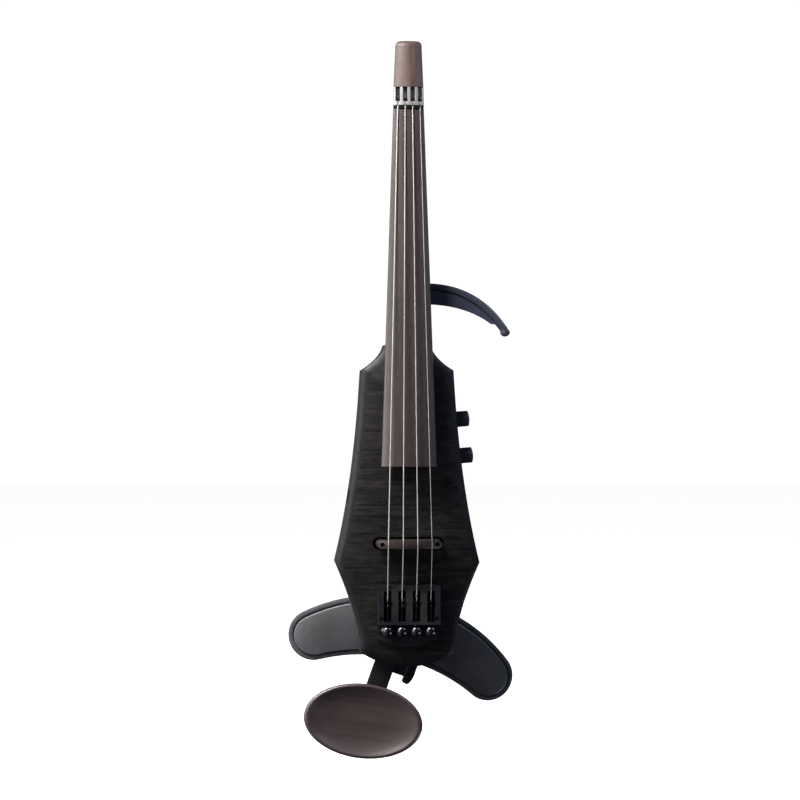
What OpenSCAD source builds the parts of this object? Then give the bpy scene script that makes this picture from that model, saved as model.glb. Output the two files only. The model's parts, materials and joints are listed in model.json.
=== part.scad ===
// Headless four-string electric violin with chin rest, shoulder rest and upper-bout arm.
// Millimetres. +Z runs from the tail to the head, the front faces -Y, the treble side is +X.
// The origin is the lowest point of the tail, at half the body's depth.

/* [Strings] */
// Vibrating length from nut to bridge
scale_length = 328; // [324:1:332]
// Height of the bridge line above the tail
bridge_z = 94; // [92:0.5:96]
// Depth of the middle strings at the nut
nut_depth = 30; // [29.5:0.1:30.5]
// Depth of the middle strings at the bridge
bridge_depth = 48; // [47.5:0.1:48.5]
// Distance between strings at the nut
nut_spacing = 5.6; // [5.4:0.1:5.8]
// Distance between strings at the bridge and the tuners
bridge_spacing = 10.9; // [10.8:0.1:11]
// Radius of the fingerboard and bridge arch
arch_r = 42; // [40:1:44]

/* [Body] */
// Depth of the core's back face behind the middle plane
back_y = 18; // [17:0.5:19]
// Depth of the front rim in front of the middle plane
rim_depth = 18; // [17.5:0.5:18.5]
// Depth of the arched top's highest surface
crown_depth = 24; // [23.5:0.5:24.5]
// Depth where the edge bevel meets the arch
arch_depth = 20.4; // [20:0.1:20.8]
// Width of the bevel round the top
bevel_w = 5; // [4:0.5:6]
// Depth of the glue line between core and top
glue_depth = 13; // [12:0.5:14]
// Half width at the widest corner
wide_half = 54.6; // [53:0.2:56]
// Height of the widest corner
wide_z = 79; // [77:0.5:80]
// Half width at the shoulder corner
shoulder_half = 34.8; // [34:0.2:35.6]
// Height of the shoulder corner
shoulder_z = 224.7; // [223:0.5:226]
// Half width at the tail corner
tail_half = 35.2; // [34.4:0.2:36]
// Height of the tail corner
tail_z = 11; // [10:0.5:12]

/* [Fingerboard] */
// Length of the fingerboard
board_length = 270; // [266:1:272]
// Width at the nut
board_nut_w = 23; // [22.6:0.1:23.4]
// Width at the free end
board_end_w = 41.6; // [41:0.1:42]
// Thickness of the neck wood under the fingerboard
neck_depth = 12; // [11:0.5:13]

/* [Head] */
// Height of the metal block that holds the ball ends
anchor_h = 13.6; // [13:0.1:14]
// Height of the wooden cap up to its dome
cap_h = 35.4; // [34:0.2:36]

/* [Tuners] */
// Width of the tuner housing
housing_w = 46.8; // [46:0.2:47.4]
// Depth of the housing's front face
housing_depth = 35.2; // [35:0.1:35.4]
// Radius of the round tuning knobs
knob_r = 4.5; // [4.3:0.1:4.6]

/* [Controls] */
// Diameter of the volume and tone knobs
control_d = 12; // [11:0.2:13]
// Length of the volume and tone knobs
control_len = 10.4; // [10:0.2:11]
// Height of the volume knob above the tail
volume_z = 187.3; // [186:0.5:189]
// Height of the tone knob above the tail
tone_z = 159.5; // [158:0.5:161]
// Bore of the output jack
jack_bore_d = 6.5; // [6.4:0.05:6.6]
// Height of the output jack above the tail
jack_z = 126; // [124:1:128]

/* [Chin rest] */
// Half length of the oval dish
dish_a = 44.7; // [42:0.5:46]
// Half width of the oval dish
dish_b = 27.9; // [26:0.5:29]
// Lean of the chin arm from vertical
arm_angle = 19.7; // [18:0.1:21]
// Width of the chin arm
arm_w = 15.5; // [15:0.1:16]

/* [Shoulder rest] */
// Lean of the shoulder rest
rest_angle = 13.5; // [12:0.5:15]
// Radius of the crescent's upper edge
rest_top_r = 130; // [126:1:134]
// Radius of the round lobes
lobe_r = 19.7; // [19:0.1:20.4]

/* [Hidden] */
$fn = 48;
eps = 0.01;
nut_z = bridge_z + scale_length;
lanes = [-1.5, -0.5, 0.5, 1.5];
string_r = [0.42, 0.38, 0.36, 0.22];
body_n = 10;

// Tuner heights and depths
housing_seat = 21.8;
housing_top = 62.9;
window_top = 58.8;
window_bottom = 35.5;
window_w = 5.8;
step_z = 33.3;
housing_corner = 22.7;
housing_bottom = 16;
screw_depth = 30.5;
ball_z = step_z - 0.3 - knob_r;
clamp_depth = 34;
bend_z = 54;
carriage_mid = 50;
carriage_h = 7;
lead_r = 1.2;

// Bridge
bridge_half = 24.6;
bridge_t = 6.2;
bridge_foot = 16.9;
slot_half = 27;
slot_t = 9.4;
slot_depth = 14.5;
post_x = 20.6;
post_r = 1.5;

// Neck
heel_top = 272;
neck_end = 244;
wedge_end = 178;
board_end_z = nut_z - board_length;
board_drop = 11;
tenon_half = 13;
tenon_bottom = 200;
tenon_back = 6;

// Control cavity
cavity_half = 26;
cavity_z0 = 117;
cavity_z1 = 196;
cavity_front = -7;
cover_half = 30;
cover_z0 = 113;
cover_z1 = 200;
cover_t = 2;
control_y = -3;
control_tilt = 5;
jack_y = -1;
jack_barrel_r = 4.7;
jack_body_r = 5.8;
jack_back = 8;
jack_mouth = 42.1;
jack_seat = 38.9;
jack_recess_r = 9;
plug_length = 31.9;

// Rear hardware
pivot = [6.8, 58];
plate_y = back_y + 3;
arm_y0 = 23.2;
arm_y1 = 31.4;
rod_y_mid = 29.8;
rod_z = -54;
pin_x = 21.1;
lever_half = 3.7;
lever_end = -73.3;
jaw_bottom = -68.1;
jaw_top = -46;
post_reach = 100;
dish_offset = [-8.1, -1.8];
dish_turn = 7.6;
rest_mid = [0.65, 2.6];
rest_y = 48;
hinge_v = 26;
hinge_y = 43;
plate_t = 2.6;
rest_t = 11.6;

// ---------- shared functions ----------

function mix(a, b, t) = a + (b - a) * t;
function clamp01(t) = min(1, max(0, t));
function sag(x, r) = r - sqrt(r * r - x * x);
function bezier(p, q, s, t) = (1 - t) * (1 - t) * p + 2 * t * (1 - t) * q + t * t * s;
function curve(p, q, s, n) = [for (i = [0:n - 1]) bezier(p, q, s, i / n)];
function arc(c, r, a0, a1, n) = [for (i = [0:n]) c + r * [cos(mix(a0, a1, i / n)), sin(mix(a0, a1, i / n))]];
function flip_x(points) = [for (i = [len(points) - 1:-1:0]) [-points[i][0], points[i][1]]];

// Depth of a string's centre line over the nut and over the bridge
function nut_string_y(lane) = -nut_depth + sag(lane * nut_spacing, arch_r);
function bridge_string_y(lane) = -bridge_depth + sag(lane * bridge_spacing, arch_r);

// Fingerboard half width, top line and underside at height z
function board_half(z) = mix(board_end_w, board_nut_w, (z - board_end_z) / board_length) / 2;
function board_top(z) = mix(-nut_depth + 0.7 - board_drop, -nut_depth + 0.7, (z - board_end_z) / board_length);
function board_under(z) = mix(-29.7, -22.7, (z - board_end_z) / board_length);

// Solid through a list of rings with equal point counts, anticlockwise as seen from the last ring
module loft(rings) {
    n = len(rings[0]);
    m = len(rings);
    points = [for (ring = rings) for (p = ring) p];
    sides = [for (k = [0:m - 2]) for (i = [0:n - 1])
        each [[k * n + i, (k + 1) * n + (i + 1) % n, k * n + (i + 1) % n],
              [k * n + i, (k + 1) * n + i, (k + 1) * n + (i + 1) % n]]];
    bottom = [for (i = [0:n - 1]) i];
    top = [for (i = [n - 1:-1:0]) (m - 1) * n + i];
    polyhedron(points, concat([bottom], [top], sides));
}

// Cylinder along +Y from y0 to y1
module rod_y(r, y0, y1, x = 0, z = 0) {
    translate([x, y0, z]) rotate([-90, 0, 0]) cylinder(r = r, h = y1 - y0);
}

// Prism from an outline in the XZ plane, from y0 to y1
module plate_xz(points, y0, y1) {
    translate([0, y1, 0]) rotate([90, 0, 0]) linear_extrude(y1 - y0) polygon(points);
}

// Box given by its low and high corners
module block(low, high) {
    translate(low) cube(high - low);
}

// Round-ended bar outline centred on the origin
module stadium(half, t) {
    square([2 * half - t, t], center = true);
    for (s = [-1, 1]) translate([s * (half - t / 2), 0]) circle(d = t);
}

// Socket screw along Y, with the outer face of its head at head_y and its tip at tip_y
module screw(place, head_y, tip_y, r, head_r, head_h) {
    dir = tip_y > head_y ? 1 : -1;
    translate([place[0], head_y, place[1]]) rotate([-90 * dir, 0, 0]) difference() {
        union() {
            cylinder(r = head_r, h = head_h);
            cylinder(r = r, h = abs(tip_y - head_y));
        }
        translate([0, 0, -eps]) cylinder(r = head_r * 0.5, h = head_h * 0.6, $fn = 6);
    }
}

// ---------- body ----------

tail_r = (tail_half * tail_half + tail_z * tail_z) / (2 * tail_z);
tail_sweep = asin(tail_half / tail_r);
tail_corner = [tail_half, tail_z];
wide_corner = [wide_half, wide_z];
shoulder_corner = [shoulder_half, shoulder_z];
stub_corner = [17.2, neck_end];
lower_pull = [tail_half + 1.7, tail_z + 28.7];
upper_pull = [wide_half - 15.1, wide_z + 60.4];
shoulder_pull = [shoulder_half - 14.9, shoulder_z + 8.9];

half_outline = concat(
    [for (i = [0:5]) [0, tail_r] + tail_r * [sin(tail_sweep * i / 6), -cos(tail_sweep * i / 6)]],
    curve(tail_corner, lower_pull, wide_corner, body_n),
    curve(wide_corner, upper_pull, shoulder_corner, body_n + 4),
    curve(shoulder_corner, shoulder_pull, stub_corner, 8),
    [stub_corner]);
outline = concat(half_outline, flip_x([for (i = [1:len(half_outline) - 1]) half_outline[i]]));

// The outline pulled inwards by an inset, at depth y
function inset_x(x, inset) = x - sign(x) * inset * min(1, abs(x) / 16);
function inset_z(z, inset) = z + inset * (clamp01(1 - z / 45) - clamp01((z - 190) / 40));
function body_ring(inset, y) = [for (p = outline) [inset_x(p[0], inset), y, inset_z(p[1], inset)]];

// Ring of the arched top, from the bevel's inner edge at share 0 to the middle at share 1
function arch_y(share) = -mix(arch_depth, crown_depth, 1 - pow(1 - share, 2));
function arch_ring(share) = [for (p = outline)
    [inset_x(p[0], bevel_w) * mix(1, 0.1, share), arch_y(share), inset_z(p[1], bevel_w + 24 * share)]];

module neck_wedge() {
    loft([for (z = [wedge_end, neck_end + 1]) let (w = board_half(z) - 1.2)
        [[-w, board_under(z), z], [w, board_under(z), z], [w, -rim_depth, z], [-w, -rim_depth, z]]]);
}

module neck_tenon() {
    block([-tenon_half, -crown_depth, tenon_bottom], [tenon_half, tenon_back, neck_end + 1]);
}

// Places children on the treble flank, their +Z pointing out of the side
module on_flank(z, half) {
    translate([half, control_y, z]) rotate([0, 90 - control_tilt, 0]) children();
}
volume_half = 36.9;
tone_half = 39.7;

module jack_axis() {
    translate([0, jack_y, jack_z]) rotate([0, -90, 0]) children();
}

bracket_holes = [[-17, 34], [-17, 70], [24, 34], [24, 70]];
cover_holes = [[-28, 115], [28, 115], [-28, 198], [28, 198]];
housing_holes = [[-20.6, 26.3], [20.6, 26.3], [-20.9, 38], [20.9, 38]];
lead_x = -4;
lead_y = -3;

module body_core() {
    color("saddlebrown") difference() {
        loft([body_ring(3, back_y), body_ring(1, back_y - 0.7), body_ring(0, back_y - 3),
              body_ring(0, -glue_depth)]);
        neck_tenon();
        block([-cavity_half, cavity_front, cavity_z0], [cavity_half, back_y + 1, cavity_z1]);
        block([-cover_half, back_y - cover_t, cover_z0], [cover_half, back_y + 1, cover_z1]);
        on_flank(volume_z, volume_half) control_bore();
        on_flank(tone_z, tone_half) control_bore();
        jack_axis() {
            cylinder(r = jack_barrel_r + 0.1, h = 80);
            translate([0, 0, jack_seat]) cylinder(r = jack_recess_r, h = 20);
        }
        for (p = bracket_holes) rod_y(1.5, back_y - 12, back_y + 1, p[0], p[1]);
        for (p = cover_holes) rod_y(1.1, back_y - 9, back_y, p[0], p[1]);
        rod_y(1.5, -glue_depth - 1, lead_y + 1.5, lead_x, bridge_z);
        translate([lead_x, lead_y, bridge_z]) cylinder(r = 1.5, h = cavity_z0 - bridge_z + 1);
        for (p = housing_holes) rod_y(1, -glue_depth - 1, -glue_depth + 3, p[0], p[1]);
    }
}

// Bushing hole and pot pocket, along +Z outwards
module control_bore() {
    translate([0, 0, -12]) cylinder(r = 3.6, h = 20);
    translate([0, 0, -17]) cylinder(r = 8.6, h = 11);
}

module body_top() {
    color("darkslategray") difference() {
        loft(concat([body_ring(0, -glue_depth), body_ring(0, -rim_depth), body_ring(1.2, -rim_depth - 0.9),
                     body_ring(3, -rim_depth - 1.8)], [for (share = [0:0.1:1]) arch_ring(share)]));
        neck_wedge();
        neck_tenon();
        translate([0, -slot_depth, bridge_z]) rotate([90, 0, 0]) linear_extrude(20) stadium(slot_half, slot_t);
        rod_y(1.5, -slot_depth - 1, -glue_depth + 1, lead_x, bridge_z);
        plate_xz(housing_shape(0.25), -crown_depth - 1, -housing_seat);
        for (p = housing_holes) rod_y(1, -crown_depth - 1, -glue_depth + 1, p[0], p[1]);
    }
}

// ---------- neck and head ----------

// Depth of the neck's back at height z, with the heel's quarter ellipse
function heel_share(z) = 1 - sqrt(max(0, 1 - pow((heel_top - z) / (heel_top - neck_end), 2)));
function neck_back(z) = z >= heel_top ? board_under(z) + neck_depth
    : mix(board_under(heel_top) + neck_depth, back_y - 2, heel_share(z));
function boxy(a, e) = sign(a) * pow(abs(a), e);
function neck_ring(z) = let (w = board_half(z) - 0.4, y0 = board_under(z), d = neck_back(z) - y0)
    [for (a = [0:6:180]) [w * boxy(cos(a), 0.8), y0 + d * boxy(sin(a), 0.85), z]];

module neck() {
    color("dimgray") difference() {
        union() {
            loft([for (i = [0:8]) neck_ring(mix(neck_end, heel_top, pow(i / 8, 2)))]);
            loft([neck_ring(heel_top), neck_ring(nut_z)]);
            neck_wedge();
            neck_tenon();
        }
        for (p = bout_holes) rod_y(1.5, -22, 0, p[0], p[1]);
    }
}

module fingerboard() {
    plane_y = board_under(board_end_z);
    color("rosybrown") intersection() {
        translate([0, board_top(board_end_z) + arch_r, board_end_z])
            rotate([-atan(board_drop / board_length), 0, 0])
                translate([0, 0, -10]) cylinder(r = arch_r, h = board_length + 20, $fn = 96);
        translate([0, plane_y, board_end_z])
            rotate([-atan((board_under(nut_z) - plane_y) / board_length), 0, 0])
                block([-40, -60, -20], [40, 0, board_length + 20]);
        plate_xz([[-board_end_w / 2, board_end_z], [board_end_w / 2, board_end_z],
                  [board_nut_w / 2, nut_z], [-board_nut_w / 2, nut_z]], -70, 0);
    }
}

// Cross-section of the head: arched front, half-oval back
function head_ring(z, w, front, back, bulge = arch_r) = let (mid = -22.7) concat(
    [for (i = [-8:8]) [w * i / 8, front + sag(w * i / 8, bulge), z]],
    [for (a = [7.5:7.5:172.5]) [w * boxy(cos(a), 0.8), mid + (back - mid) * boxy(sin(a), 0.85), z]]);
nut_h = 2.2;
anchor_z = nut_z + nut_h;
cap_z = anchor_z + anchor_h;
head_front = -31.4;
head_back = board_under(nut_z) + neck_depth;
ball_seat = anchor_z + 2.6;

module string_anchor() {
    color("silver") difference() {
        union() {
            loft([for (z = [nut_z, anchor_z]) head_ring(z, 11.3, head_front + 0.7, head_back)]);
            loft([for (end = [[anchor_z, 11.4], [cap_z, 11.1]]) head_ring(end[0], end[1], head_front, head_back)]);
        }
        for (lane = lanes) {
            x = lane * nut_spacing;
            block([x - 1.7, head_front - 5, ball_seat], [x + 1.7, -24.4, cap_z + 1]);
            block([x - 0.6, head_front - 5, nut_z - 1], [x + 0.6, nut_string_y(lane) + 0.5, ball_seat + 1]);
        }
    }
}

module head_cap() {
    color("rosybrown") loft([
        head_ring(cap_z, 11.1, head_front - 0.2, head_back + 0.2, 20),
        head_ring(cap_z + cap_h - 5, 9.95, head_front + 0.6, head_back - 0.8, 16),
        head_ring(cap_z + cap_h - 2.6, 9.6, head_front + 0.9, head_back - 1.2, 16),
        head_ring(cap_z + cap_h - 1.2, 8.6, head_front + 1.9, head_back - 2.2, 16),
        head_ring(cap_z + cap_h - 0.3, 6.4, head_front + 4.2, head_back - 4.2, 16),
        head_ring(cap_z + cap_h, 3, head_front + 7, head_back - 7, 16)]);
}

// ---------- strings ----------

module wire(p, q, r) {
    d = q - p;
    translate(p) rotate([0, acos(d[2] / norm(d)), atan2(d[1], d[0])]) cylinder(r = r, h = norm(d));
}

// One string from its ball end, over the nut and the bridge, to its carriage
module string_path(lane, r) {
    head = [lane * nut_spacing, nut_string_y(lane), ball_seat + 0.5];
    nut = [lane * nut_spacing, nut_string_y(lane), nut_z + nut_h / 2];
    crown = [lane * bridge_spacing, bridge_string_y(lane), bridge_z];
    bend = [lane * bridge_spacing, -clamp_depth, bend_z];
    tail = [lane * bridge_spacing, -clamp_depth, carriage_mid - 3];
    loft([for (p = [tail, bend, crown, nut, head])
        [for (a = [0:36:359]) p + r * [cos(a), sin(a), 0]]]);
}

module string_g() { color("gainsboro") string_path(lanes[0], string_r[0]); }
module string_d() { color("gainsboro") string_path(lanes[1], string_r[1]); }
module string_a() { color("gainsboro") string_path(lanes[2], string_r[2]); }
module string_e() { color("gainsboro") string_path(lanes[3], string_r[3]); }

module string_balls() {
    color("gold") for (lane = lanes)
        translate([lane * nut_spacing, nut_string_y(lane), ball_seat + 0.5 + 1.6]) rotate([0, 90, 0])
            cylinder(r = 1.6, h = 2.8, center = true);
}

// ---------- bridge ----------

// Arched crown that leans back by an angle from the bridge line
module crown_slope(lean) {
    translate([0, -bridge_depth, bridge_z]) rotate([lean, 0, 0])
        translate([0, arch_r, 0]) cylinder(r = arch_r, h = 80, center = true, $fn = 96);
}

// Open groove under one string, its floor just below the string on both sides of the crown
module string_groove(lane, half) {
    crown = bridge_string_y(lane) + half;
    reach = 10;
    fall = reach * (-clamp_depth + half - crown) / (bridge_z - bend_z);
    rise = reach * (nut_string_y(lane) + half - crown) / (nut_z - bridge_z);
    translate([lane * bridge_spacing - half, 0, bridge_z]) rotate([90, 0, 90]) linear_extrude(2 * half)
        polygon([[-60, reach], [-60, -reach], [crown + fall, -reach], [crown, 0], [crown + rise, reach]]);
}

module bridge() {
    color("rosybrown") difference() {
        intersection() {
            translate([0, 0, bridge_z]) rotate([90, 0, 0]) linear_extrude(60) stadium(bridge_half, bridge_t);
            block([-30, -60, bridge_z - 10], [30, -bridge_foot, bridge_z + 10]);
            crown_slope(20);
            crown_slope(-5);
        }
        for (i = [0:3]) string_groove(lanes[i], string_r[i] + 0.12);
        for (s = [-1, 1]) rod_y(post_r + 0.1, -60, 0, s * post_x, bridge_z);
    }
}

module bridge_screw(side) {
    color("silver") difference() {
        rod_y(post_r, -41.5, -slot_depth - 0.7, side * post_x, bridge_z);
        translate([side * post_x, -41.6, bridge_z]) rotate([-90, 0, 0]) cylinder(r = 0.8, h = 2, $fn = 6);
    }
}

module bridge_screw_bass() { bridge_screw(-1); }
module bridge_screw_treble() { bridge_screw(1); }

module bridge_screw_seats() {
    color("gold") for (s = [-1, 1]) rod_y(3, -slot_depth - 0.7, -slot_depth, s * post_x, bridge_z);
}

module bridge_pickup() {
    color("gold") block([-16, -slot_depth - 0.9, bridge_z - 2], [16, -slot_depth, bridge_z + 2]);
}

// ---------- tuners ----------

housing_rise = housing_corner - housing_bottom;
housing_r = (pow(housing_w / 2, 2) + pow(housing_rise, 2)) / (2 * housing_rise);
housing_sweep = asin(housing_w / 2 / housing_r);

// Housing outline, let out by a gap for its pocket in the top
function housing_shape(gap) = concat(
    [[housing_w / 2 + gap, housing_top + gap], [-housing_w / 2 - gap, housing_top + gap]],
    arc([0, housing_bottom + housing_r], housing_r + gap, -90 - housing_sweep, -90 + housing_sweep, 16));
deck_y = -screw_depth + knob_r + 0.3;

module tuner_housing() {
    color("dimgray") difference() {
        plate_xz(housing_shape(0), -housing_depth, -housing_seat);
        block([-40, -50, 0], [40, deck_y, step_z]);
        for (lane = lanes) {
            x = lane * bridge_spacing;
            block([x - window_w / 2, -50, window_bottom], [x + window_w / 2, -crown_depth - 2, window_top]);
            block([x - 0.9, -50, window_top - 1], [x + 0.9, -clamp_depth - 0.2, housing_top + 1]);
            translate([x, -screw_depth, step_z - 1]) cylinder(r = lead_r + 0.1, h = housing_top - step_z - 0.8);
        }
        for (p = housing_holes) rod_y(1, -40, 0, p[0], p[1]);
        for (i = [0:1]) rod_y(1.6, -40, deck_y + 0.8, housing_holes[i][0], housing_holes[i][1]);
        for (i = [2:3]) rod_y(1.6, -40, -housing_depth + 1.8, housing_holes[i][0], housing_holes[i][1]);
    }
}

module housing_screws() {
    color("dimgray") {
        for (i = [0:1]) screw(housing_holes[i], deck_y + 0.1, -glue_depth + 3, 1, 1.6, 0.7);
        for (i = [2:3]) screw(housing_holes[i], -housing_depth + 0.2, -glue_depth + 3, 1, 1.6, 1.6);
    }
}

module carriage(lane) {
    x = lane * bridge_spacing;
    half = window_w / 2 - 0.3;
    color("gray") {
        difference() {
            block([x - half, -housing_depth + 0.3, carriage_mid - carriage_h / 2],
                  [x + half, -crown_depth - 2.3, carriage_mid + carriage_h / 2]);
            block([x - 0.8, -50, carriage_mid - carriage_h],
                  [x + 0.8, -clamp_depth + 0.8, carriage_mid + carriage_h]);
            translate([x, -screw_depth, 0]) cylinder(r = lead_r + 0.06, h = 80);
        }
        translate([x, -clamp_depth - 1.6, carriage_mid + 0.2]) rotate([0, 90, 0])
            cylinder(r = 0.8, h = 2 * half, center = true);
    }
}

module carriage_g() { carriage(lanes[0]); }
module carriage_d() { carriage(lanes[1]); }
module carriage_a() { carriage(lanes[2]); }
module carriage_e() { carriage(lanes[3]); }

module tuning_knob(lane) {
    color("black") translate([lane * bridge_spacing, -screw_depth, 0]) {
        translate([0, 0, ball_z]) sphere(r = knob_r, $fn = 64);
        translate([0, 0, ball_z]) cylinder(r = lead_r, h = housing_top - 2.4 - ball_z);
        translate([0, 0, ball_z]) cylinder(r = 2, h = knob_r + 0.1);
    }
}

module tuning_knob_g() { tuning_knob(lanes[0]); }
module tuning_knob_d() { tuning_knob(lanes[1]); }
module tuning_knob_a() { tuning_knob(lanes[2]); }
module tuning_knob_e() { tuning_knob(lanes[3]); }

// ---------- controls and electronics ----------

// Knob with its shaft, along +Z out of the flank
module control_knob() {
    difference() {
        union() {
            translate([0, 0, 1.3]) cylinder(d = control_d, h = control_len - 1);
            translate([0, 0, 0.3 + control_len]) cylinder(d1 = control_d, d2 = control_d - 2.6, h = 1);
        }
        translate([0, 0, 1]) cylinder(r = 4.7, h = 2.4);
    }
    translate([0, 0, -9]) cylinder(r = 3, h = 16);
}

module pot() {
    difference() {
        union() {
            translate([0, 0, -16.5]) cylinder(r = 8, h = 10.3);
            translate([0, 0, -7]) cylinder(r = 3.55, h = 9.4);
        }
        translate([0, 0, -9.6]) cylinder(r = 3.1, h = 20);
    }
}

module volume_knob() { color("black") on_flank(volume_z, volume_half) control_knob(); }
module tone_knob() { color("black") on_flank(tone_z, tone_half) control_knob(); }
module volume_pot() { color("silver") on_flank(volume_z, volume_half) pot(); }
module tone_pot() { color("silver") on_flank(tone_z, tone_half) pot(); }

module control_nut() {
    translate([0, 0, 0.8]) difference() {
        cylinder(r = 4.4, h = 1.4);
        translate([0, 0, -1]) cylinder(r = 3.55, h = 4);
    }
}

module control_nuts() {
    color("silver") {
        on_flank(volume_z, volume_half) control_nut();
        on_flank(tone_z, tone_half) control_nut();
    }
}

module output_jack() {
    color("silver") jack_axis() difference() {
        union() {
            translate([0, 0, jack_back]) cylinder(r = jack_body_r, h = cavity_half - 0.2 - jack_back);
            translate([0, 0, jack_back]) cylinder(r = jack_barrel_r, h = jack_mouth - jack_back);
        }
        translate([0, 0, jack_mouth - plug_length]) cylinder(d = jack_bore_d, h = plug_length + 1);
    }
}

module jack_nut() {
    color("silver") jack_axis() translate([0, 0, jack_seat + 0.1]) difference() {
        cylinder(r = 7.4, h = 2.4, $fn = 6);
        translate([0, 0, -1]) cylinder(r = jack_barrel_r, h = 5);
    }
}

module control_cover() {
    color("black") difference() {
        block([-cover_half + 0.15, back_y - cover_t, cover_z0 + 0.15],
              [cover_half - 0.15, back_y, cover_z1 - 0.15]);
        for (p = cover_holes) {
            rod_y(1.1, 0, back_y + 1, p[0], p[1]);
            rod_y(1.9, back_y - 1.2, back_y + 1, p[0], p[1]);
        }
    }
}

module cover_screws() {
    color("silver") for (p = cover_holes) screw(p, back_y - 0.1, back_y - 8.5, 1.1, 1.9, 1.1);
}

module preamp_board() {
    color("darkgreen") {
        block([-20, 8, 132], [14, 9.6, 172]);
        for (p = [[-17, 135], [11, 169]]) rod_y(2, cavity_front, 8.5, p[0], p[1]);
        for (i = [0:2]) block([-14 + 9 * i, 9, 140], [-8 + 9 * i, 12, 148]);
        for (i = [0:1]) rod_y(3, 9, 14.5, -12 + 14 * i, 160);
    }
}

module pickup_lead() {
    p0 = [lead_x, -slot_depth + 0.1, bridge_z];
    p1 = [lead_x, lead_y, bridge_z];
    p2 = [lead_x, lead_y, 124];
    p3 = [lead_x, 7.4, 134];
    color("black") {
        wire(p1, p0, 0.8);
        wire(p1, p2, 0.8);
        wire(p2, p3, 0.8);
        for (p = [p1, p2]) translate(p) sphere(r = 0.8);
    }
}

// ---------- rear bracket and chin rest ----------

module rear_bracket() {
    color("dimgray") difference() {
        translate([3.5, plate_y, 52]) rotate([90, 0, 0]) linear_extrude(plate_y - back_y)
            union() {
                square([52, 38], center = true);
                square([44, 46], center = true);
                for (x = [-22, 22], z = [-19, 19]) translate([x, z]) circle(r = 4);
            }
        for (p = bracket_holes) {
            rod_y(1.5, 0, plate_y + 1, p[0], p[1]);
            rod_y(2.7, plate_y - 1.6, plate_y + 1, p[0], p[1]);
        }
        rod_y(3, 0, plate_y + 1, pivot[0], pivot[1]);
    }
}

module bracket_screws() {
    color("silver") for (p = bracket_holes) screw(p, plate_y - 0.1, back_y - 11, 1.5, 2.7, 1.5);
}

module swivel_post() {
    color("silver") {
        rod_y(3, back_y + 0.2, plate_y + 0.5, pivot[0], pivot[1]);
        rod_y(9, plate_y, arm_y0 - 0.3, pivot[0], pivot[1]);
        rod_y(4, plate_y, 62, pivot[0], pivot[1]);
    }
}

module post_clip() {
    color("silver") difference() {
        rod_y(6.6, arm_y1 + 0.3, arm_y1 + 1.6, pivot[0], pivot[1]);
        rod_y(4, arm_y1, arm_y1 + 2, pivot[0], pivot[1]);
    }
}

// Frame of the chin arm: origin on the swivel post, the arm runs along -Z
module arm_frame() {
    translate([pivot[0], 0, pivot[1]]) rotate([0, arm_angle, 0]) children();
}
arm_end = -86;

module chin_arm() {
    color("dimgray") arm_frame() difference() {
        union() {
            block([-arm_w / 2, arm_y0, arm_end], [arm_w / 2, arm_y1, 0]);
            rod_y(9, arm_y0, arm_y1);
        }
        rod_y(4.1, 0, 60);
        block([-5.4, arm_y0 + 1.1, arm_end - 1], [5.4, 28.2, -36]);
        block([-0.4, 27, arm_end - 1], [0.4, 40, -40]);
        translate([-20, rod_y_mid, rod_z]) rotate([0, 90, 0]) cylinder(r = 1.3, h = 60);
    }
}

module chin_slide() {
    color("gray") arm_frame() difference() {
        union() {
            block([-5.3, arm_y0 + 1.2, -post_reach], [5.3, 28.1, -46]);
            rod_y(8.6, arm_y0, 31, 0, -post_reach);
        }
        rod_y(4.1, 0, 60, 0, -post_reach);
    }
}

// Frame of the chin post: origin on its axis
module post_frame() {
    arm_frame() translate([0, 0, -post_reach]) rotate([0, -arm_angle, 0]) children();
}

module chin_post() {
    color("silver") post_frame() rod_y(4, -31.2, 40);
}

module chin_plate() {
    color("dimgray") post_frame() difference() {
        union() {
            rod_y(15, -33, -30.6);
            rod_y(7, -32, -24);
        }
        rod_y(4.1, -31.4, 0);
    }
}

// Share of the oval's size and depth, from the middle of the underside over the rim into the hollow
dish_profile = [[0.3, -33], [0.62, -33], [0.84, -34.6], [0.96, -37.2], [1, -39.4], [0.992, -40.9],
                [0.965, -41.8], [0.93, -42], [0.89, -41.4], [0.8, -40], [0.65, -38.4], [0.45, -37.2], [0.2, -36.7]];
function dish_ring(share, y) = [for (a = [0:7.5:359]) [dish_a * share * cos(a), y, dish_b * share * sin(a)]];

module chin_dish() {
    color("saddlebrown") post_frame() translate([dish_offset[0], 0, dish_offset[1]]) rotate([0, dish_turn, 0])
        loft([for (p = dish_profile) dish_ring(p[0], p[1])]);
}

module clamp_rod() {
    color("silver") arm_frame() difference() {
        union() {
            translate([-10.6, rod_y_mid, rod_z]) rotate([0, 90, 0]) cylinder(r = 1.25, h = 29);
            translate([-10.6, rod_y_mid, rod_z]) rotate([0, 90, 0]) cylinder(r = 2.4, h = 2.8);
            rod_y(2.5, rod_y_mid - 1.3, rod_y_mid + 1.3, pin_x, rod_z);
        }
        rod_y(1.25, 0, 60, pin_x, rod_z);
    }
}

module clamp_block() {
    color("dimgray") arm_frame() difference() {
        block([arm_w / 2, 26.2, jaw_bottom], [pin_x - lever_half - 0.3, arm_y1 + 1.8, jaw_top]);
        translate([0, rod_y_mid, rod_z]) rotate([0, 90, 0]) cylinder(r = 1.3, h = 60);
    }
}

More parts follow.
